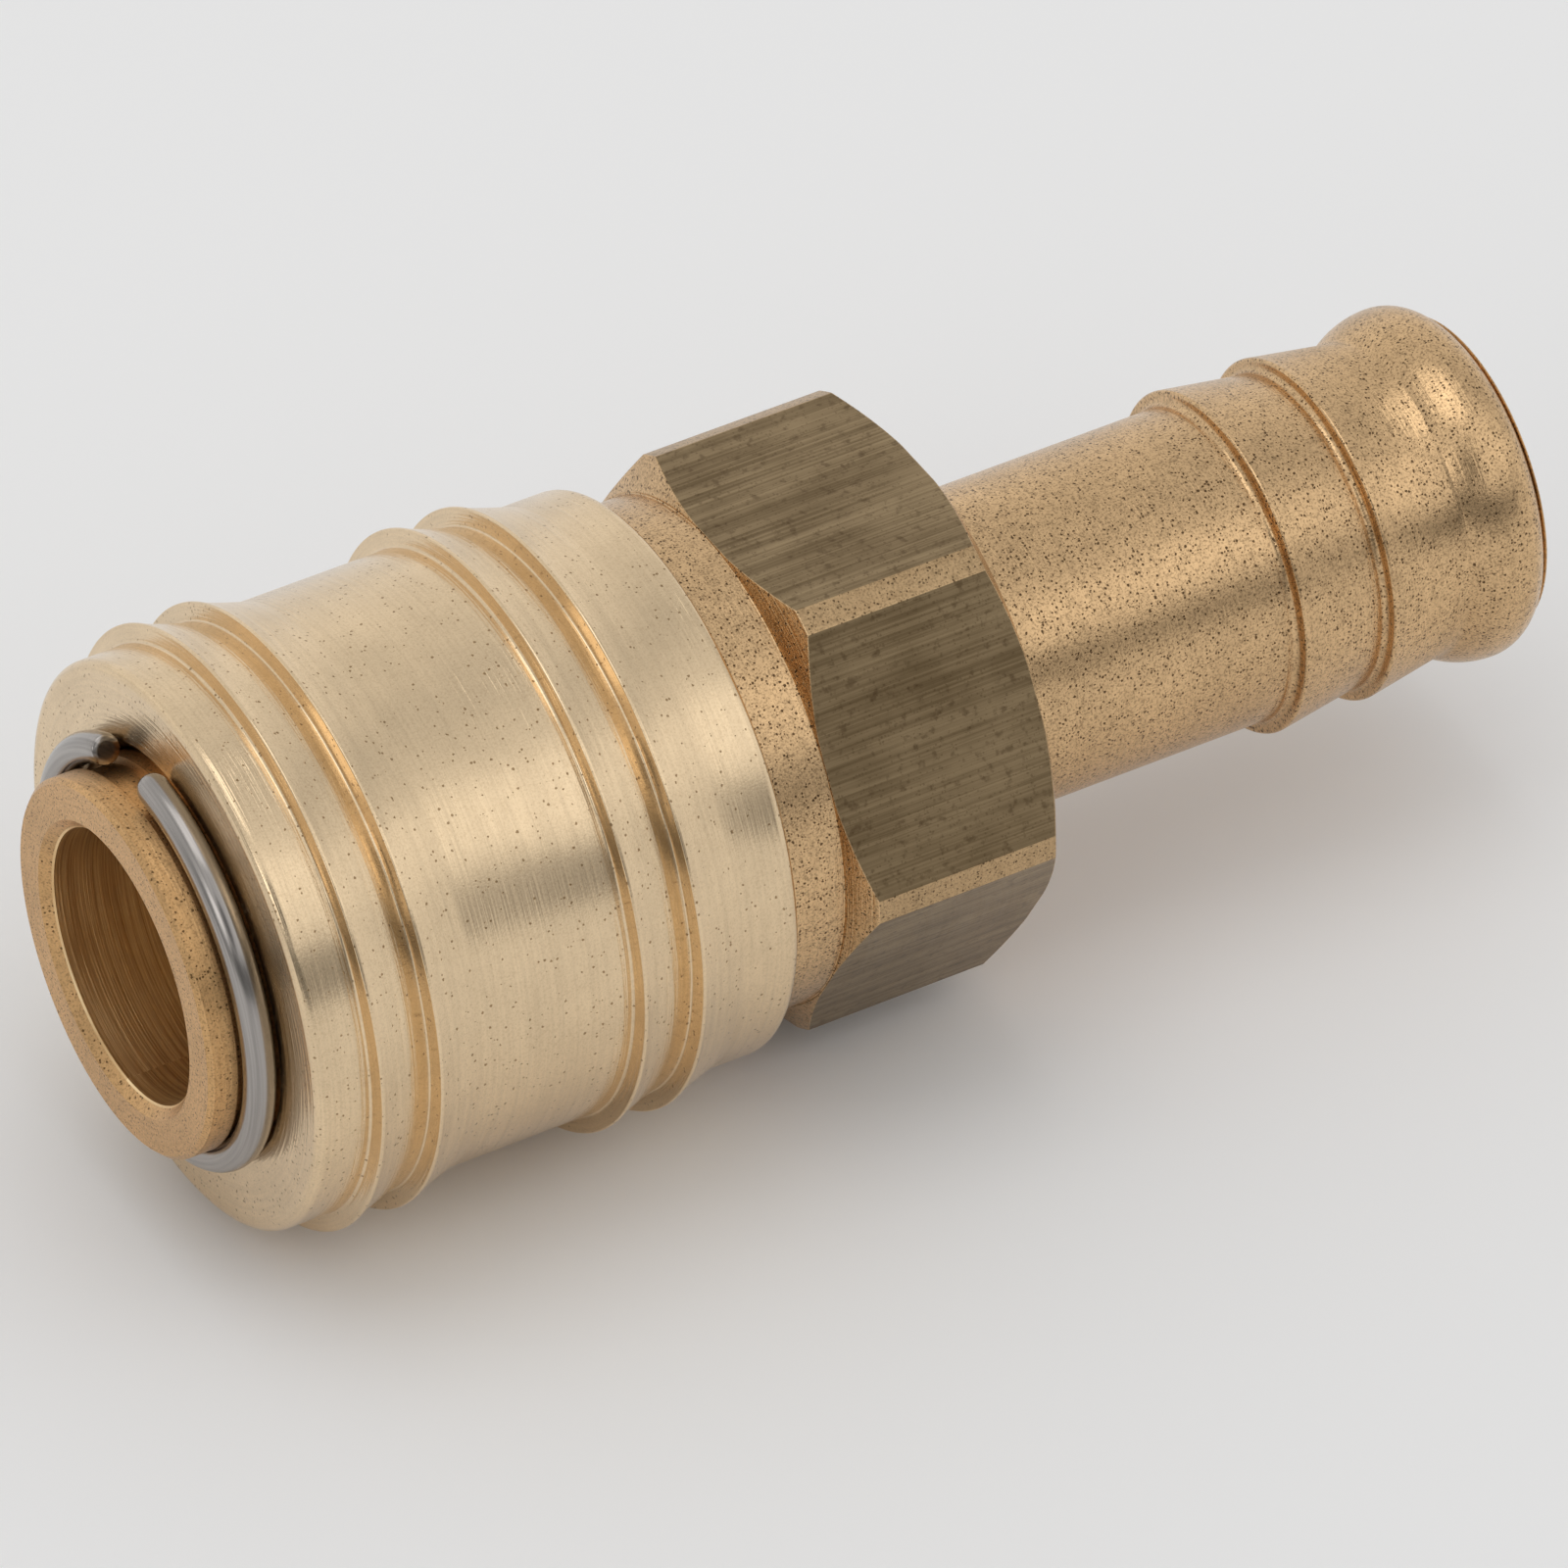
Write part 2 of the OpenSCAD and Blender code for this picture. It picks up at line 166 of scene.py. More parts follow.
def tube_piece(name, points):
    """A grid that closes round the wire but not along it, with one point for each end."""
    rows, columns = points.shape[:2]
    i, j = np.meshgrid(np.arange(rows - 1) * columns, np.arange(columns), indexing="ij")
    j1 = (j + 1) % columns
    quads = np.stack([i + j, i + j1, i + columns + j1, i + columns + j], -1)
    k = np.arange(columns)
    k1 = (k + 1) % columns
    last = (rows - 1) * columns
    first_tip, last_tip = np.full(columns, rows * columns), np.full(columns, rows * columns + 1)
    caps = np.vstack([
        np.stack([k1, k, first_tip], -1), np.stack([last + k, last + k1, last_tip], -1)])
    points = np.vstack([points.reshape(-1, 3), points[0].mean(0), points[-1].mean(0)])
    return smooth_piece(name, points, quads.reshape(-1, 4).tolist() + caps.tolist())


def around(x, r, theta):
    """Carries (x, r) round the axis: theta runs from +Z toward -Y."""
    return np.stack([x + 0 * theta, -r * np.sin(theta), r * np.cos(theta)], -1)


COLUMNS = 320
TURN = np.linspace(0, 2 * np.pi, COLUMNS, endpoint=False)


def turned_piece(name, corners):
    """A rounded profile carried round the whole circle."""
    profile = rounded(corners)
    return grid_piece(name, around(profile[:, :1], profile[:, 1:], TURN[None, :]))


# %% [markdown]
# The sleeve is what the fingers pull. Each ridge of its two pairs has a tight foot, a steep
# front that leans back a little, a small round crest and a long rear flank, so that it grips
# when pulled back. It is cut in one go on a lathe, so one profile makes it, inside and out.

# %% The locking sleeve
RIDGE_H, RIDGE_PITCH, PAIRS_X = 0.75, 2.56, (4.86, 16.32)
FOOT_R, LEAN, CREST_R, CREST_W, CREST_REAR_R, LAND = 0.12, 0.07, 0.09, 0.12, 0.06, 0.05
EVEN, DROP = 0.85, 4.4
FLANK = (0.94, 0.88, 0.81, 0.74, 0.66, 0.57, 0.47, 0.36, 0.24, 0.12, 0.0)


def ridge(x):
    """Corners of one ridge with the foot of its leaning front at x. With u running from 1 at the
    crest to 0 at the end of the rear flank, the flank's height is H (0.85 u + 0.15 u^4.4): nearly
    all of it falls evenly, and the rest close to the crest."""
    crest = x + LEAN + CREST_W
    run = x + RIDGE_PITCH - FOOT_R - LAND - crest
    top = SLEEVE_R + RIDGE_H
    flank = [(crest + (1 - u) * run, SLEEVE_R + RIDGE_H * (EVEN * u + (1 - EVEN) * u**DROP), 0)
             for u in FLANK]
    return [(x, SLEEVE_R, FOOT_R), (x + LEAN, top, CREST_R), (crest, top, CREST_REAR_R), *flank]


def ridge_pair(x):
    """Two ridges, with the front of the first at x."""
    return ridge(x) + ridge(x + RIDGE_PITCH)


sleeve = turned_piece("sleeve_shell", [
    (SLEEVE_X0, LIP_R + LIP_CHAMFER, 0.08), (SLEEVE_X0, SLEEVE_R, SLEEVE_EDGE_R),
    *ridge_pair(PAIRS_X[0]), *ridge_pair(PAIRS_X[1]),
    (SLEEVE_X1, SLEEVE_R, SLEEVE_EDGE_R), (SLEEVE_X1, SPRING_BORE_R + SLEEVE_CHAMFER, 0.05),
    (SLEEVE_X1 - SLEEVE_CHAMFER, SPRING_BORE_R, 0.05), (SPRING_SEAT_X, SPRING_BORE_R, 0.1),
    (SPRING_SEAT_X, LAND_R, 0.08), (RAMP_X1, LAND_R, 0.08), (RAMP_X0, RECESS_R, 0.3),
    (LIP_X1, RECESS_R, 0.1), (LIP_X1, LIP_R, 0.06), (SLEEVE_X0 + LIP_CHAMFER, LIP_R, 0.08),
])
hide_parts("sleeve")
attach(sleeve, "sleeve")

# %% [markdown]
# The hose tail is one piece: the shoulder under the sleeve, the hexagon for the spanner, the
# plain tail, two barbs and the end bead. Round parts and hexagon share one grid. Each column
# is a direction round the axis, and the hexagon's rows ask how far out it reaches there.

# %% Directions round the hexagon
SIXTH = math.radians(60)
FLAT_HALF = math.acos(FLATS / 2 / CORNER_R)
NEXT_FLAT = SIXTH - FLAT_HALF
EDGE = math.radians(0.12)
FLAT_STEPS, CORNER_STEPS = 43, 7
sector = np.concatenate([
    np.linspace(-FLAT_HALF + EDGE, FLAT_HALF - EDGE, FLAT_STEPS), [FLAT_HALF, FLAT_HALF + EDGE],
    np.linspace(FLAT_HALF, NEXT_FLAT, CORNER_STEPS)[1:-1], [NEXT_FLAT - EDGE, NEXT_FLAT],
])
THETA = (sector[None, :] + SIXTH * np.arange(6)[:, None]).ravel()
off_flat = np.tile(np.where(sector > SIXTH / 2, sector - SIXTH, sector), 6)
HEX_R = np.minimum(CORNER_R, FLATS / 2 / np.cos(off_flat))
print("columns:", len(THETA), "reach from", HEX_R.min(), "to", round(HEX_R.max(), 3), "mm")

# %% Rows of the hexagon
CHAMFER = math.tan(math.radians(30))
FOOT = np.minimum(FLATS / 2 + 0.05, HEX_R - 0.03)
DEPTH = (HEX_R - FOOT) * CHAMFER
PAST_CHAMFER = 0.04


def hex_rows(face_x, way):
    """One end of the hexagon, from its face at face_x inward (way is 1 or -1). A point at the
    share t of the chamfer is out by t of the height and in by t of the height times tan 30."""
    t = np.array([0.0, 0.03, 0.35, 0.7, 0.97, 1.0])[:, None]
    x = face_x + way * t * DEPTH
    r = FOOT + t * (HEX_R - FOOT)
    deeper = face_x + way * (DEPTH + PAST_CHAMFER)
    return np.vstack([x, deeper[None]]), np.vstack([r, HEX_R[None]])


front_x, front_r = hex_rows(HEX_X0, 1)
rear_x, rear_r = hex_rows(HEX_X1, -1)
hex_x = np.vstack([front_x, rear_x[::-1]])
hex_r = np.vstack([front_r, rear_r[::-1]])

# %% Barbs and bead
BARBS_X, BARB_R, BARB_FOOT_R = (48.745, 52.795), TAIL_R + 0.62, 0.3
BEAD_X, BEAD_MID, BEAD_H = 56.845, 58.994, 0.78
BEAD_FRONT_R, BEAD_REAR_R = 3.35, 1.5


def barb(x):
    """Corners of one barb: its hollow foot, which starts at x, and its crest. The line on to the
    next corner is its taper."""
    front = x + BARB_FOOT_R
    return [(front, TAIL_R, BARB_FOOT_R), (front, BARB_R, 0.12)]


def bead():
    """A long front arc rises from the tail's surface to the crest, and a tighter rear arc goes
    down from there by a quarter of a circle."""
    swing = math.acos((BEAD_FRONT_R - BEAD_H) / BEAD_FRONT_R)
    arcs = [(BEAD_FRONT_R, np.linspace(math.pi / 2 + swing, math.pi / 2, 14)),
            (BEAD_REAR_R, np.linspace(math.pi / 2, 0, 16)[1:])]
    return np.vstack([
        np.stack([BEAD_MID + r * np.cos(a), TAIL_R + BEAD_H - r + r * np.sin(a)], -1)
        for r, a in arcs])


# %% The hose tail's round parts
# The two corners at OUTSIDE and the one at BEAD_X only give their neighbours a direction: the
# hexagon's rows and the bead take their place.
OUTSIDE = 12.5
inner = rounded([
    (SHOULDER_X0, JOINT_R, 0.05), (SHOULDER_X0, SHOULDER_R, 0.2), (HEX_X0, SHOULDER_R, 0.05),
    (HEX_X0, OUTSIDE, 0.01), (HEX_X1, OUTSIDE, 0.01), (HEX_X1, TAIL_R, 0.15),
    *barb(BARBS_X[0]), *barb(BARBS_X[1]), (BEAD_X, TAIL_R, 0.05), (TAIL_X1, TAIL_R, 0.05),
    (TAIL_X1, TAIL_BORE_R + TAIL_CHAMFER, 0.08), (TAIL_X1 - TAIL_CHAMFER, TAIL_BORE_R, 0.08),
    (SPRING_ROOM_X1, TAIL_BORE_R, 0.05), (SPRING_ROOM_X1, SPRING_ROOM_R, 0.05),
    (STOP_X, SPRING_ROOM_R, 0.05), (STOP_X, CHAMBER_R, 0.05),
    (JOINT_X1, CHAMBER_R, 0.05), (JOINT_X1, JOINT_R, 0.05),
]).reshape(-1, ARC_STEPS + 3, 2)


def rows_of(profile):
    """A plain profile as rows that are the same in every direction."""
    return [np.repeat(profile[:, k:k + 1], len(THETA), 1) for k in (0, 1)]


shoulder = rows_of(inner[0:3].reshape(-1, 2))
tail = rows_of(np.vstack([inner[5:10].reshape(-1, 2), bead(), inner[11:].reshape(-1, 2)]))
tail_x = np.vstack([shoulder[0], hex_x, tail[0]])
tail_r = np.vstack([shoulder[1], hex_r, tail[1]])
print("rows:", len(tail_x), "of which the hexagon has", len(hex_x))

# %% The hose tail, with a mark where the drawn bar's skin is left
ON_STRIP = 0.42
hose_tail = grid_piece("hose_tail_turned", around(tail_x, tail_r, THETA[None, :]))
drawn = np.zeros(tail_x.shape)
first = len(shoulder[0]) + len(front_x) - 1
on_flat = np.abs(off_flat) <= FLAT_HALF - EDGE / 2
drawn[first:first + 2] = ON_STRIP
drawn[first:first + 2, on_flat] = 1
layer = hose_tail.data.attributes.new("drawn", "FLOAT", "POINT")
layer.data.foreach_set("value", drawn.astype(np.float32).ravel())
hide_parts("hose_tail")
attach(hose_tail, "housing")

# %% [markdown]
# The ring is a length of spring steel wire bent round the nose, with a gap. One end is cut
# off square and stands a little proud, the other is rounded. It sits slightly off centre.

# %% The wire ring
RING_X, RING_R, WIRE_R, RING_OFF = 1.875, 8.295, 0.65, 0.12
RING_FROM, RING_SPAN = math.radians(-25.5), math.radians(337)
RING_STEPS, RING_SIDES = 200, 40
PLAIN_FROM, PLAIN_TO = 0.012, 0.92044
BEVEL = [[0, 0.02], [0, 0.5], [0, 0.86], [0.001, 0.93], [0.003, 0.98], [0.006, 1]]


def wire_ring():
    """Circles of the wire's radius stand along an arc of the ring's radius. At the cut end
    they shrink on the spot with a small bevel, given as rows of (place along the arc, share of
    the wire's radius), and at the other end they shrink like a ball's."""
    run = np.linspace(PLAIN_FROM, PLAIN_TO, RING_STEPS)
    bevel = np.array(BEVEL)
    tip = np.linspace(0, np.pi / 2, 9)[1:]
    ball = np.stack([run[-1] + WIRE_R / RING_R / RING_SPAN * np.sin(tip), np.cos(tip)], -1)
    ball[-1, 1] = bevel[0, 1]
    along = np.concatenate([bevel[:, 0], run, ball[:, 0]])
    size = np.concatenate([bevel[:, 1], np.ones(len(run)), ball[:, 1]])
    theta = (RING_FROM - along / along[-1] * RING_SPAN)[:, None]
    a = np.linspace(0, 2 * np.pi, RING_SIDES, endpoint=False)[None, :]
    r = RING_R + WIRE_R * size[:, None] * np.cos(a)
    points = around(RING_X + WIRE_R * size[:, None] * np.sin(a), r, theta)
    return points + RING_OFF * np.array([0, -math.sin(RING_FROM), math.cos(RING_FROM)])


ring = tube_piece("wire_ring", wire_ring())
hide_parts("retaining_ring")
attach(ring, "housing")

# %% [markdown]
# A real coil spring shortens as its joint moves, but here both springs keep the length of
# their CAD nodes. Both springs are round wire with one closed turn at each end.

# %% The two springs
WIRE_STEPS, WIRE_SIDES = 48, 20
# Each row holds the body, the joint and its travel, the wire's diameter, the turns, and which
# end keeps its place on the body: 0 for the front and 1 for the rear.
SPRINGS = {
    "sleeve_spring": ("sleeve_spring", "sleeve_slide", 2.4, 0.9, 5, 0),
    "valve_spring": ("housing", "valve_slide", 3.0, 0.7, 7, 1),
}


def coil(node, wire, turns):
    """The wire's centre goes round the axis at a fixed radius. It moves on by one wire in the
    first turn and in the last one, and evenly over the rest of the length between them."""
    low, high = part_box(node)
    x0, x1, outer = low.x / MM, high.x / MM, high.z / MM
    run = x1 - x0 - wire
    t = np.linspace(0, turns, turns * WIRE_STEPS + 1)
    x = x0 + wire / 2 + np.interp(t, [0, 1, turns - 1, turns], [0, wire, run - wire, run])
    b = np.linspace(0, 2 * np.pi, WIRE_SIDES, endpoint=False)[None, :]
    r = outer - wire / 2 + wire / 2 * np.cos(b)
    return around(x[:, None] + wire / 2 * np.sin(b), r, 2 * np.pi * t[:, None])


springs = {}
for node, (body, joint, travel, wire, turns, end) in SPRINGS.items():
    springs[node] = tube_piece(f"{node}_wire", coil(node, wire, turns))
    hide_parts(node)
    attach(springs[node], body)

# %% Every new mesh has its faces turned outward
for piece in (sleeve, hose_tail, ring, *springs.values()):
    bm = bmesh.new()
    bm.from_mesh(piece.data)
    if bm.calc_volume(signed=True) < 0:
        bmesh.ops.reverse_faces(bm, faces=bm.faces)
        bm.to_mesh(piece.data)
    open_edges = sum(len(e.link_faces) != 2 for e in bm.edges)
    volume = round(abs(bm.calc_volume()) / MM**3, 1)
    print(piece.name, "volume", volume, "mm3, open edges", open_edges)
    bm.free()

# %% Each spring gets a mesh of its own
for node, (body, joint, travel, wire, turns, end) in SPRINGS.items():
    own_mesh(springs[node])

# %% [markdown]
# A metal's colour is the colour of its reflections, so brass needs a full metallic shader, a
# base colour, and most of all a surface: fine rings from the lathe, small dark pits where
# the casting shows, and streaks along the flats of the drawn bar.

# %% A small helper for shader nodes
class Nodes:
    """Builds the node tree of a material or a world; each call adds a node."""

    def __init__(self, owner):
        owner.use_nodes = True
        self.nodes = owner.node_tree.nodes
        self.links = owner.node_tree.links

    def add(self, kind, inputs=(), **settings):
        node = self.nodes.new("ShaderNode" + kind)
        for key, value in settings.items():
            setattr(node, key, value)
        for key, value in dict(inputs).items():
            self.put(value, node.inputs[key])
        return node

    def put(self, value, socket):
        if isinstance(value, bpy.types.NodeSocket):
            self.links.new(value, socket)
        else:
            socket.default_value = value

    def math(self, operation, a, b=0.0, clamp=False):
        return self.add("Math", {0: a, 1: b}, operation=operation, use_clamp=clamp).outputs[0]

    def ramp(self, value, low, high):
        """From 0 at low to 1 at high, with a soft start and end."""
        node = self.add("MapRange", {0: value, 1: low, 2: high}, interpolation_type="SMOOTHSTEP")
        return node.outputs[0]

    def mix(self, share, a, b):
        node = self.add("Mix", data_type="RGBA")
        for value, socket in ((share, node.inputs[0]), (a, node.inputs[6]), (b, node.inputs[7])):
            self.put(value, socket)
        return node.outputs[2]


class Shader(Nodes):
    """A material of one principled shader, with the place on the object as its coordinates."""

    def __init__(self, name, metallic, roughness):
        self.material = bpy.data.materials.new(name)
        super().__init__(self.material)
        self.bsdf = self.nodes["Principled BSDF"]
        self.bsdf.inputs["Metallic"].default_value = metallic
        self.bsdf.inputs["Roughness"].default_value = roughness
        self.place = self.add("TexCoord").outputs["Object"]

    def shade(self, under, share, colour):
        """Lays a plain colour over what is under it, by that share."""
        return self.mix(share, under, (*colour, 1))

    def finish(self, **inputs):
        """Joins each value to the shader's input of that name and gives the material."""
        for key, value in inputs.items():
            self.put(value, self.bsdf.inputs[key.replace("_", " ").title()])
        return self.material


def noise(s, vector, scale, detail=2.0):
    """Blender's noise, from 0 to 1, at so many waves per metre."""
    return s.add("TexNoise", {"Vector": vector, "Scale": scale, "Detail": detail}).outputs["Fac"]


def lathe_place(s):
    """The lathe's own coordinates: the distance from the axis, x plus that distance, which goes
    along a cylinder and out on a face, and the angle round the axis."""
    xyz = s.add("SeparateXYZ", {0: s.place}).outputs
    yy = s.math("MULTIPLY", xyz[1], xyz[1])
    zz = s.math("MULTIPLY", xyz[2], xyz[2])
    radius = s.math("SQRT", s.math("ADD", yy, zz))
    return radius, s.math("ADD", xyz[0], radius), s.math("ARCTAN2", xyz[1], xyz[2])


def lathe_rings(s, per_metre, length):
    """Noise whose marks are so many times as long, round the axis, as they are wide. It gives
    rings round a cylinder and circles on a flat face."""
    _, along, turn = lathe_place(s)
    flat = s.add("CombineXYZ", {0: along, 1: s.math("MULTIPLY", turn, 0.01 / length)}).outputs[0]
    return noise(s, flat, per_metre, 3.0)


def pits(s, per_metre, share):
    """Dark dots of uneven outline: a Voronoi cell's middle is a pit where its own random number
    is under the share, and noise shifts the place before the cells are asked for it."""
    wobble = {"Vector": s.place, "Scale": 1.7 * per_metre, "Detail": 2.0}
    shift = s.add("TexNoise", wobble).outputs["Color"]
    moved = s.add("VectorMath", {0: shift, "Scale": 0.6 / per_metre}, operation="SCALE").outputs[0]
    place = s.add("VectorMath", {0: s.place, 1: moved}, operation="ADD").outputs[0]
    cells = s.add("TexVoronoi", {"Vector": place, "Scale": per_metre}).outputs
    luck = s.add("SeparateColor", {0: cells["Color"]}).outputs[0]
    width = s.math("MULTIPLY", s.math("SUBTRACT", share, luck, True), 0.42 / share)
    return s.ramp(s.math("SUBTRACT", width, cells["Distance"]), -0.06, 0.04)


def along_bar(s, stretch, scale, detail):
    """Noise drawn out along x, so that its marks run along the flats of the bar."""
    place = s.add("Mapping", {"Vector": s.place, "Scale": (stretch, 1.0, 1.0)}).outputs[0]
    return noise(s, place, scale, detail)


# %% Brass
BORE_R = 0.00572
BUMP_DEPTH = 0.00002


def brass(name, base, dark, roughness, ring_bump, pit_share, mottle, streaks=False, bore=False):
    """Base colour, then blotches, rings, mottling in two sizes and pits; rings and pits also
    make bump. In the bore the lathe's rings are even, and their bump catches light from the
    mouth; the bore's colour is also painted paler than the body's own brass, as painted light
    from the mouth."""
    s = Shader(name, 1.0, roughness)
    rings = lathe_rings(s, 7000.0, 40.0)
    spots = pits(s, 7600.0, pit_share)
    grain = noise(s, s.place, 11000.0, 3.0)
    patch = noise(s, s.place, 2600.0, 4.0)
    blotch = s.ramp(noise(s, s.place, 260.0, 3.0), 0.35, 0.7)
    dull, grooved = [0.8 * c for c in base], [0.66 * c for c in base]
    tint = s.shade((*base, 1), s.math("MULTIPLY", blotch, 0.35 + 0.4 * mottle), dull)
    tint = s.shade(tint, s.math("MULTIPLY", s.ramp(rings, 0.35, 0.7), 0.26), grooved)
    tint = s.shade(tint, s.math("MULTIPLY", s.ramp(patch, 0.45, 0.7), 0.3 * mottle), dark)
    tint = s.shade(tint, s.math("MULTIPLY", s.ramp(grain, 0.45, 0.68), mottle), dark)
    tint = s.shade(tint, s.math("MULTIPLY", spots, 0.9), dark)
    height = s.math("SUBTRACT", rings, s.math("MULTIPLY", spots, 1.5))
    height = s.math("SUBTRACT", height, s.math("MULTIPLY", grain, mottle))
    rough = s.math("ADD", roughness - 0.05, s.math("MULTIPLY", rings, 0.1))
    if bore:
        inside = s.math("LESS_THAN", lathe_place(s)[0], BORE_R)
        turned = lathe_rings(s, 9500.0, 120.0)
        # Painted light: the bore gets paler brass than the body's own, so the deep bore looks lit
        # from its mouth; the rings in it are turning marks.
        bore_rings_and_painted_light = s.mix(s.ramp(turned, 0.35, 0.65), (1.0, 0.75, 0.42, 1), (0.7, 0.46, 0.22, 1))
        tint = s.mix(inside, tint, bore_rings_and_painted_light)
        height = s.mix(inside, height, s.math("MULTIPLY", turned, 1.6))
    if streaks:
        flat = s.add("Attribute", attribute_name="drawn").outputs["Fac"]
        lines = along_bar(s, 0.006, 9500.0, 7.0)
        drags = along_bar(s, 0.05, 2300.0, 6.0)
        cloud = noise(s, s.place, 330.0, 3.0)
        mark = s.math("ADD", s.math("MULTIPLY", lines, 0.4), s.math("MULTIPLY", drags, 0.35))
        mark = s.math("ADD", mark, s.math("MULTIPLY", cloud, 0.25))
        bar = s.mix(s.ramp(mark, 0.34, 0.66), (0.165, 0.112, 0.056, 1), (0.37, 0.27, 0.152, 1))
        bar = s.shade(bar, s.math("MULTIPLY", s.ramp(patch, 0.55, 0.72), 0.45), dark)
        bar = s.shade(bar, s.math("MULTIPLY", spots, 0.3), dark)
        tint = s.mix(flat, tint, bar)
        rough = s.math("ADD", rough, s.math("MULTIPLY", flat, 0.1))
        height = s.mix(flat, height, mark)
    bump = s.add("Bump", {"Strength": ring_bump, "Distance": BUMP_DEPTH, "Height": height})
    return s.finish(base_color=tint, roughness=rough, normal=bump.outputs[0])


finishes = {
    "sleeve": brass("turned_sleeve_brass", base=(0.87, 0.67, 0.43), dark=(0.32, 0.2, 0.095),
                    roughness=0.2, ring_bump=1.0, pit_share=0.1, mottle=0.17),
    "body": brass("turned_body_brass", base=(0.74, 0.45, 0.205), dark=(0.13, 0.075, 0.03),
                  roughness=0.36, ring_bump=0.7, pit_share=0.4, mottle=0.4, bore=True),
    "tail": brass("turned_tail_brass", base=(0.80, 0.535, 0.285), dark=(0.07, 0.037, 0.015),
                  roughness=0.26, ring_bump=0.8, pit_share=0.58, mottle=0.5, streaks=True),
}

# %% Steel and rubber
WEAR_BUMP = 0.2


def plain_metal(name, base, roughness, along_wire=False):
    """Steel with fine wear. A bent wire's wear follows it as long marks round the axis."""
    s = Shader(name, 1.0, roughness)
    wear = lathe_rings(s, 6000.0, 60.0) if along_wire else noise(s, s.place, 5000.0, 4.0)
    tint = s.shade((*base, 1), s.ramp(wear, 0.3, 0.75), [0.72 * c for c in base])
    bump = s.add("Bump", {"Strength": WEAR_BUMP, "Distance": BUMP_DEPTH, "Height": wear})
    return s.finish(base_color=tint, normal=bump.outputs[0])


def rubber(name):
    """Black rubber with a faint bloom."""
    s = Shader(name, 0.0, 0.55)
    bloom = s.ramp(noise(s, s.place, 900.0, 3.0), 0.4, 0.8)
    return s.finish(base_color=s.mix(bloom, (0.018, 0.018, 0.019, 1), (0.04, 0.04, 0.042, 1)))


finishes["wire"] = plain_metal("ring_wire_steel", (0.43, 0.40, 0.375), 0.22, along_wire=True)
finishes["spring"] = plain_metal("spring_wire_steel", (0.45, 0.45, 0.46), 0.35)
finishes["ball"] = plain_metal("ball_polished_steel", (0.66, 0.66, 0.67), 0.12)
finishes["seal"] = rubber("seal_black_rubber")

# %% Give every part its finish
wears = {sleeve: "sleeve", hose_tail: "tail", ring: "wire"}
wears.update({piece: "spring" for piece in springs.values()})
KINDS = {"socket_body": "body", "valve_poppet": "body", "plug_seal": "seal"}
for node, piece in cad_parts.items():
    wears[piece] = KINDS.get(node, "ball" if node.startswith("ball") else "spring")
for piece, kind in wears.items():
    piece.data.materials.clear()
    piece.data.materials.append(finishes[kind])
print("finishes:", ", ".join(sorted(m.name for m in finishes.values())))

# %% [markdown]
# A product photograph of bright metal is taken in a pale room with soft boxes, and polished
# metal shows that room. The room here is a world whose light depends only on the direction:
# pale at the back, a soft box high on the camera's side, and a dark gap above the horizon on
# that side. The gap is what draws the dark band along every turned part.

# %% The floor
FLOOR_Z, FLOOR_HALF = -0.01236, 3.0
FLOOR_GREY = 0.93


def floor_material():
    """A plain, matt, pale floor. The metal mirrors the same floor that the camera sees."""
    s = Shader("pale_floor", 0.0, 0.9)
    s.put(0.0, s.bsdf.inputs["Specular IOR Level"])
    return s.finish(base_color=(FLOOR_GREY, FLOOR_GREY, FLOOR_GREY, 1))


corners = np.array([[-1, -1], [1, -1], [1, 1], [-1, 1]]) * FLOOR_HALF
floor_mesh = bpy.data.meshes.new("floor")
floor_mesh.from_pydata(np.column_stack([corners, np.full(4, FLOOR_Z)]).tolist(), [], [(0, 1, 2, 3)])
floor = bpy.data.objects.new("floor", floor_mesh)
bpy.context.scene.collection.objects.link(floor)
floor_mesh.materials.append(floor_material())
print("floor at z =", FLOOR_Z)

# %% The room's light by direction
ROOM = [(-180, 0.85), (-75, 0.85), (-35, 0.72), (-8, 0.60), (14, 0.72), (30, 0.95), (54, 0.95),
        (72, 0.80), (108, 0.78), (180, 0.85)]
CAMERA_SIDE = (-0.5, -0.866, 0.0)
GAP_DEPTH, GAP_LOW, GAP_HIGH, GAP_SIDE = 0.8, (0.02, 0.13), (0.36, 0.46), (-0.25, 1.05)
DISC_DEPTH, DISC_EDGE = 0.8, (0.962, 0.985)


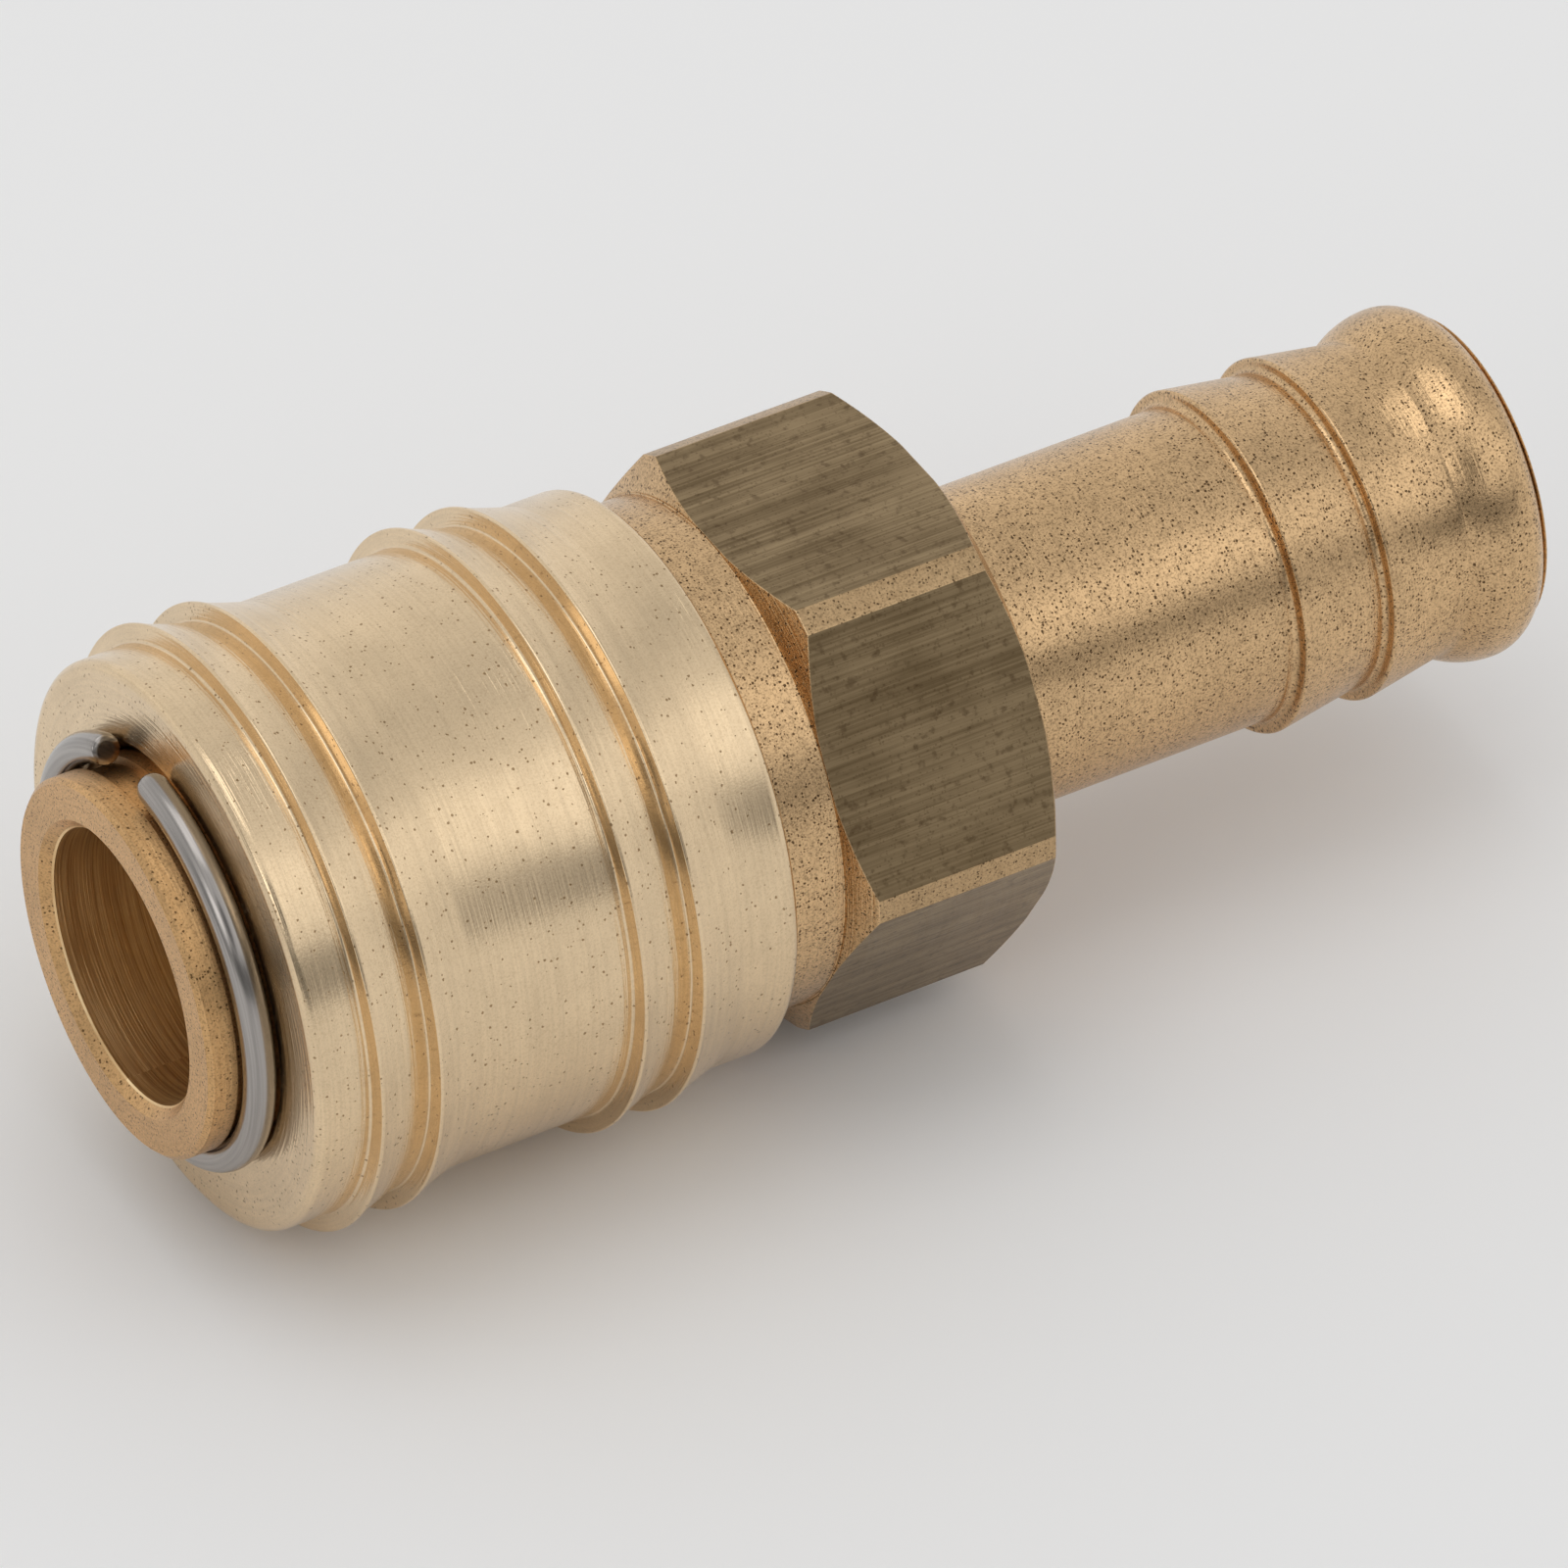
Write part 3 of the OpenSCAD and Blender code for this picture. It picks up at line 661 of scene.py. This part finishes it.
def room_world():
    """The angle from +Z toward -Y picks the level from a ramp. Just above the horizon the level
    is cut by the depth of the gap times how far the direction turns to the camera's side, and
    the camera itself is a dark disc."""
    world = bpy.data.worlds.new("pale_room")
    w = Nodes(world)
    way = w.add("TexCoord").outputs["Generated"]

    def toward(direction):
        return w.add("VectorMath", {0: way, 1: direction}, operation="DOT_PRODUCT").outputs["Value"]

    def all_but(share, depth):
        return w.math("SUBTRACT", 1.0, w.math("MULTIPLY", share, depth))

    _, y, z = w.add("SeparateXYZ", {0: way}).outputs
    angle = w.math("ARCTAN2", w.math("MULTIPLY", y, -1.0), z)
    turn = w.math("ADD", w.math("DIVIDE", angle, 2 * math.pi), 0.5)
    level = w.add("ValToRGB", {0: turn})
    level.color_ramp.interpolation = "EASE"
    stops = level.color_ramp.elements
    while len(stops) < len(ROOM):
        stops.new(0.5)
    for stop, (degrees, grey) in zip(stops, ROOM):
        stop.position = degrees / 360 + 0.5
        stop.color = (grey, grey, grey, 1)
    low_band = w.math("SUBTRACT", w.ramp(z, *GAP_LOW), w.ramp(z, *GAP_HIGH))
    gap = w.math("MULTIPLY", low_band, w.ramp(toward(CAMERA_SIDE), *GAP_SIDE))
    disc = w.ramp(toward(tuple(-LOOKS_ALONG)), *DISC_EDGE)
    shade = w.math("MULTIPLY", all_but(gap, GAP_DEPTH), all_but(disc, DISC_DEPTH))
    w.put(level.outputs[0], w.nodes["Background"].inputs["Color"])
    w.put(shade, w.nodes["Background"].inputs["Strength"])
    return world


bpy.context.scene.world = room_world()
print("room levels:", ROOM)

# %% Lamps
MIDDLE = Vector((0.03, 0, 0))


def lamp(name, at, size, power):
    """A square soft box at a place, aimed at the middle of the coupling. Its size is in metres
    and its power in watts."""
    data = bpy.data.lights.new(name, "AREA")
    data.shape = "SQUARE"
    data.size = size
    data.energy = power
    box = bpy.data.objects.new(name, data)
    bpy.context.scene.collection.objects.link(box)
    box.location = at
    box.rotation_euler = (MIDDLE - Vector(at)).to_track_quat("-Z", "Y").to_euler()
    print(name, "radiance", round(power / math.pi / size**2, 2))


lamp("near_soft_box", (0.40, -0.50, 0.60), 0.36, 0.06)
lamp("nose_soft_box", (-0.75, -0.34, 0.42), 0.34, 0.32)
lamp("top_soft_box", (-0.10, 0.05, 0.95), 0.6, 1.1)
